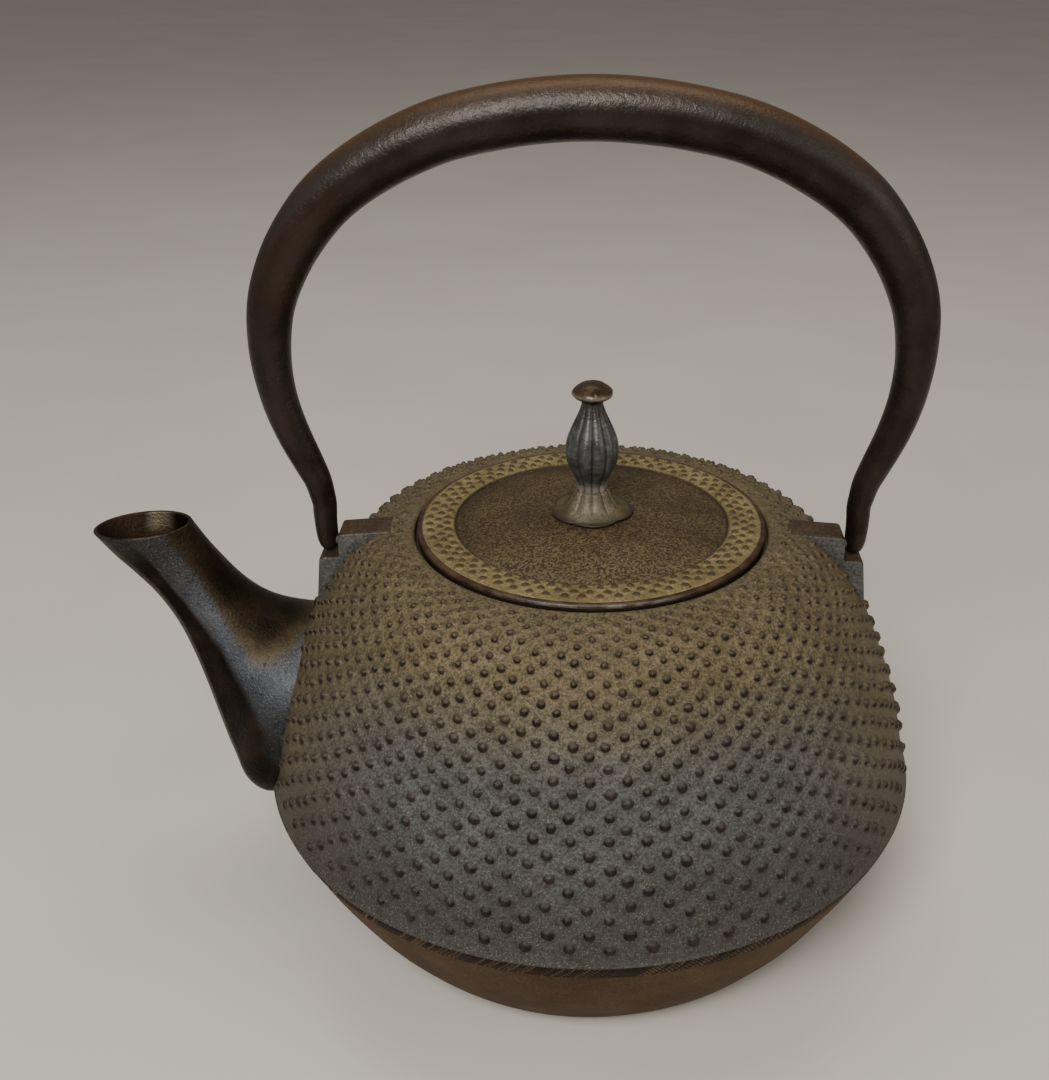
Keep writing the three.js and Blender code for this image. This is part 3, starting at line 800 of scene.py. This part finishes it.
# the bore's rows take all of the throat's painted shade and painted pool of light (inner 1.0)
for sec in IN_SECS[::-1]:
    pts, ups, sides = oval(sec, NS)
    for x, y, z in pts:
        need = inner_radius(z) - 0.05
        r = math.hypot(x, y)
        if r < need:
            x, y = x * need / r, y * need / r
        V.append((x, y, z))
        CR.append(0.0)
        UN.append(0.0)
        INN.append(1.0)
        LIP.append(0.0)
rows += len(IN_SECS)
piece("spout_skin", V, grid_faces(rows, NS), SPOUT, "pot", "spout_iron", ["spout"],
      attrs={"crown": CR, "under": UN, "inner": INN, "lip": LIP})

# --------------------------------------------------------------------- pot: lugs
import bmesh


def lug(side):
    """A wedge with a flat top and a notch at its outer end, where the bail's tip stands."""
    outline = [(50, 101.5), (50, 114.35), (53.5, 114.12), (67.5, 112.98), (68.15, 112.7), (68.42, 112.0), (68.45, 106.1),
               (72.4, 106.1), (73.85, 105.6), (75.3, 93.0), (72, 90.6), (66, 92)]
    bm = bmesh.new()
    front = [bm.verts.new((side * x * MM, -LUG_Y * MM, z * MM)) for x, z in outline]
    face = bm.faces.new(front)
    ext = bmesh.ops.extrude_face_region(bm, geom=[face])
    moved = [g for g in ext["geom"] if isinstance(g, bmesh.types.BMVert)]
    bmesh.ops.translate(bm, verts=moved, vec=(0, 2 * LUG_Y * MM, 0))
    bmesh.ops.recalc_face_normals(bm, faces=bm.faces[:])
    bmesh.ops.bevel(bm, geom=bm.edges[:], offset=0.4 * MM, segments=3, profile=0.5, affect="EDGES", clamp_overlap=True)
    me = bpy.data.meshes.new("lug")
    bm.to_mesh(me)
    bm.free()
    me.polygons.foreach_set("use_smooth", [True] * len(me.polygons))
    me.set_sharp_from_angle(angle=math.radians(30))
    me.materials.append(LUG)
    ob = bpy.data.objects.new("lug_" + ("left" if side < 0 else "right"), me)
    bpy.context.scene.collection.objects.link(ob)
    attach(ob, "pot")
    return ob


lug(-1)
lug(1)

# --------------------------------------------------------------------------- lid
def lid_point(s, t, h):
    z = 116.05 + h
    return s * math.cos(t), s * math.sin(t), z


V, A, F, low, high = studs(
    [37.15, 38.8, 41.1, 43.4, 45.1], 124, lid_point, lambda s: s, lambda s, t: True, lambda s: 1.12, lambda s: 0.85, 23, (0.12, 0.16),
    tail=((1.15, 0.0), (0.86, 0.45), (0.5, 0.88)))
na = len(low)
la = [TAU * b / na for b in range(na)]


def lid_rings(profile):
    return [[(r * math.cos(t), r * math.sin(t), z) for t in la] for r, z in profile]


middle = [(36.98, 116.08), (36.82, 116.0), (36.74, 115.8), (36.66, 115.6), (36.45, 115.5)]
middle += [tuple(p) for p in catmull([(35.6, 115.62), (34, 115.9), (28, 116.85), (20, 117.75), (12, 118.3), (7, 118.42), (3, 118.42)], 5)]
strip(V, A, F, low, lid_rings(middle), False)
outer = rounded([(45.25, 116.02), (45.4, 115.9), (45.7, 116.1), (46.3, 116.12), (46.88, 115.7), (46.88, 112.9), (41.35, 112.9), (41.0, 106.4), (38.6, 106.4), (38.2, 112.6),
                 (30, 113.2), (20, 114.3), (12, 115.1), (1.95, 115.1)], 0.45, 4)
strip(V, A, F, high, lid_rings(outer), True)
piece("lid_disc", V, F, LID, "lid", "lid_iron", ["lid"], attrs={"tip": A})

# ------------------------------------------------------------------------- knob
def fluted(rows, n, lobes, depth, phase=0.0):
    V, G = [], []
    for r, z, d in rows:
        for j in range(n):
            t = TAU * j / n
            c = abs(math.cos(lobes * (t - phase) / 2))
            f = 1 - (1 - c ** 0.62)
            rr = r * (1 - depth * d * (1 - f))
            V.append((rr * math.cos(t), rr * math.sin(t), z))
            G.append(1 - f)
    return V, G


bud = catmull([(4.72, 122.55, 1.1), (4.45, 123.5, 1.2), (4.12, 125.2, 1.3), (4.15, 127, 1.3), (4.75, 128.9, 1.2), (5.95, 131.2, 1.0), (6.8, 133.7, 1.0), (7.1, 136.8, 0.95),
               (6.55, 140, 0.95), (5.0, 143.9, 0.9), (3.6, 147, 0.8), (2.9, 149.1, 0.5), (2.85, 150.0, 0.2)], 6)
rows = [(1.95, 122.5, 0.0), (4.5, 122.5, 1.0)] + [tuple(p) for p in bud] + [(2.6, 150.25, 0.0), (1.95, 150.3, 0.0)]
V, G = fluted(rows, 200, 10, 0.155)
piece("knob_bud", V, grid_faces(len(rows), 200), KNOB, "knob", "knob_metal", ["knob"], attrs={"groove": G})

seat_rows = rounded([(1.95, 118.72), (10.4, 118.72), (11.5, 118.9), (11.5, 119.3), (10.2, 119.55), (8.6, 120.0), (7.2, 120.9), (6.1, 122.1), (5.35, 123.6), (4.7, 125.1), (4.2, 125.3)], 0.5, 4)
V, F, G = [], [], []
NP = 200
for r, z in seat_rows:
    for j in range(NP):
        t = TAU * j / NP
        fold = abs(math.cos(5 * t))
        w = abs(math.cos(2.5 * t + 0.45)) ** 0.7
        out = min(1.0, max(0.0, (r - 6.5) / 4.5))
        near = min(1.0, max(0.0, (z - 119.0) / 2.0))
        rr = r
        if not (z < 118.8 and r < 9):
            rr = r + out * (-1.15 * (1 - w) + 0.16 * math.sin(3 * t + 1) + 0.1 * math.sin(8 * t) - 0.3) - 0.55 * near * (1 - fold ** 0.6)
        V.append((rr * math.cos(t), rr * math.sin(t), z))
        G.append((1 - fold ** 0.6) * near)
piece("knob_petals", V, grid_faces(len(seat_rows), NP), SEAT, "knob", "knob_seat_metal", ["knob_seat"], attrs={"groove": G})

stem = [(0, 112.35), (2.2, 112.35), (2.75, 112.55), (2.95, 112.9), (2.75, 113.35), (2.5, 113.55), (1.5, 113.6), (1.5, 119), (1.5, 135), (1.5, 150.45)]
cap = catmull([(2.6, 150.32), (3.2, 150.5), (4.3, 151.0), (5.1, 151.45), (5.46, 151.95), (5.48, 152.4), (5.2, 153.0), (4.3, 153.95), (3.3, 154.6), (2.2, 155.02), (1.0, 155.2)], 4)
stem += [(2.3, 150.35)] + [tuple(p) for p in cap] + [(0, 155.23)]


def hammered(t, r, z):
    if z < 150.8:
        return 0.0
    return -0.02 - 0.16 * (1 - abs(math.cos(4.5 * t + 0.3 * z))) - 0.05 * (1 + math.sin(3 * t + 2 * z))


piece("stem_cap", *lathe(stem, 120, hammered), STEM, "lid", "stem_metal", ["knob_stem"])
washer = rounded([(1.95, 113.95), (5.95, 113.95), (5.95, 114.75), (1.95, 114.75), (1.95, 113.95)], 0.2, 3)
piece("washer_ring", *lathe(washer, 72), WASHER, "lid", "washer_metal", ["stem_washer"])

# ------------------------------------------------------------------------- bail
HALF = [(0, 222.8, 15.3), (12, 222.2, 15.3), (25, 220.3, 15.2), (38, 217, 15), (53, 210, 14.8), (65, 201.3, 14.3), (73.7, 190.5, 13.5), (78.8, 180.6, 12.7),
        (81.1, 173, 11.8), (82.1, 163.5, 10.8), (81.9, 156.5, 10.1), (80.8, 148.9, 9.5), (78.4, 140.5, 8.9), (75, 131.9, 8.1), (73.1, 127, 7.4), (72, 121.5, 6.7)]


def lean(z):
    return 0.5 * ((z - 120) / 102.8) ** 2


ends = [(72.0, 121.5, 6.7)]
full = [(-x, z, d) for x, z, d in HALF[:0:-1]] + HALF
line = catmull(full, 9)
NT = 56
V = []
tang = np.gradient(line[:, :2], axis=0)
for i, (x, z, d) in enumerate(line):
    tx, tz = tang[i] / np.linalg.norm(tang[i])
    nx, nz = -tz, tx
    r = d / 2 * 0.992
    for j in range(NT):
        t = TAU * j / NT
        rr = r * (1 - 0.006 * (1 + math.sin(3 * t + 0.09 * i)) - 0.004 * (1 + math.sin(0.21 * i + 2 * t)))
        V.append((x + lean(z) + nx * rr * math.cos(t), rr * math.sin(t), z + nz * rr * math.cos(t)))
F = grid_faces(len(line), NT)
for i, base in ((0, 0), (len(line) - 1, (len(line) - 1) * NT)):
    c = len(V)
    V.append((line[i][0], 0, line[i][1]))
    F += [(base + j, base + (j + 1) % NT, c) for j in range(NT)]
piece("bail_grip", V, F, BAIL, "handle", "handle_iron", ["handle_tube"])

TIP = [(106.68, 71.6, 0.8, 0.7), (106.75, 71.6, 1.25, 1.1), (106.98, 71.6, 1.78, 1.58), (107.8, 71.65, 2.38, 2.28), (108.8, 71.75, 2.65, 2.52),
       (110.0, 71.85, 2.83, 2.68), (112.2, 71.95, 2.98, 2.83), (114.2, 72.0, 3.03, 2.98), (115.9, 72.0, 3.08, 3.08), (118.0, 71.95, 3.18, 3.18),
       (120.0, 71.88, 3.23, 3.24), (121.2, 72.0, 3.3, 3.3), (122.6, 72.2, 3.36, 3.34), (125.0, 72.6, 3.3, 3.3)]
fine = catmull([(z, cx, hx, hy) for z, cx, hx, hy in TIP], 5)
for side, name in ((-1, "left"), (1, "right")):
    V = []
    for z, cx, hx, hy in fine:
        for j in range(40):
            t = TAU * j / 40
            V.append((side * (cx + hx * math.cos(t)), hy * math.sin(t), z))
    F = grid_faces(len(fine), 40)
    for base, z in ((0, 106.67), ((len(fine) - 1) * 40, 125.0)):
        c = len(V)
        V.append((side * (71.6 if z < 110 else 72.6), 0, z))
        F += [(base + j, base + (j + 1) % 40, c) for j in range(40)]
    piece("bail_tip_" + name, V, F, BAIL, "handle", "handle_iron", ["handle_tip_" + name])
    V = []
    for x, r in ((64.45, 1.2), (64.75, 1.48), (71.9, 1.48), (72.15, 1.25)):
        for j in range(32):
            t = TAU * j / 32
            V.append((side * x, r * math.cos(t), 109.5 + r * math.sin(t)))
    F = grid_faces(4, 32) + [tuple(range(32)), tuple(range(96, 128))]
    piece("pin_" + name, V, F, PIN, "handle", "pin_iron", ["pivot_pin_" + name])


# ------------------------------------------------------------------------- stage
def plain(name, a, b):
    k = Iron(name)
    c = k.mix(k.band(k.noise(9, 3, 0.5), 0.3, 0.7), a, b)
    return k.done(c, 0.6, None, metal=0.0, spec=0.3)


bpy.ops.mesh.primitive_plane_add(size=24, location=(0, 4, 0))
floor = bpy.context.object
floor.name = "floor"
floor.data.materials.append(plain("floor_pale", (0.60, 0.57, 0.52), (0.63, 0.60, 0.55)))


def soft_light(name, at, size, power, colour, to=(0, 0, 0.1)):
    data = bpy.data.lights.new(name, "AREA")
    data.shape = "RECTANGLE"
    data.size, data.size_y = size
    data.energy = power
    data.color = colour
    ob = bpy.data.objects.new(name, data)
    ob.location = at
    ob.rotation_euler = (Vector(to) - Vector(at)).to_track_quat("-Z", "Y").to_euler()
    bpy.context.scene.collection.objects.link(ob)


soft_light("key", (-0.22, -0.80, 0.90), (0.50, 0.42), 13.0, (1.0, 0.97, 0.92))
soft_light("top", (0.0, 0.25, 1.25), (1.0, 0.6), 4.5, (1.0, 0.94, 0.85))
soft_light("fill_left", (-1.2, -0.2, 0.55), (0.7, 0.7), 0.8, (0.85, 0.92, 1.0))
soft_light("fill_right", (1.1, -0.5, 0.6), (0.8, 0.8), 3.6, (1.0, 0.92, 0.82))
world = bpy.data.worlds.new("studio")
world.use_nodes = True
world.node_tree.nodes["Background"].inputs[0].default_value = (0.88, 0.83, 0.76, 1)
world.node_tree.nodes["Background"].inputs[1].default_value = 0.24
bpy.context.scene.world = world

# ------------------------------------------------------------------------ camera
cam_data = bpy.data.cameras.new("camera")
cam = bpy.data.objects.new("camera", cam_data)
bpy.context.scene.collection.objects.link(cam)
cam_data.sensor_fit = "AUTO"
cam_data.sensor_width = 36.0
cam_data.lens = 43.33
cam_data.shift_x = -0.062
cam_data.shift_y = 0.0
cam_data.clip_start = 0.01
cam_data.clip_end = 100
pitch = math.radians(27.05)
forward = Vector((0, math.cos(pitch), -math.sin(pitch)))
up = Vector((0, math.sin(pitch), math.cos(pitch)))
right = Vector((1, 0, 0))
roll = math.radians(0.42)
r2 = right * math.cos(roll) + up * math.sin(roll)
u2 = up * math.cos(roll) - right * math.sin(roll)
rot = Matrix((r2, u2, -forward)).transposed()
cam.matrix_world = Matrix.Translation(Vector((0, -0.316045, 0.270968))) @ rot.to_4x4()
bpy.context.scene.camera = cam
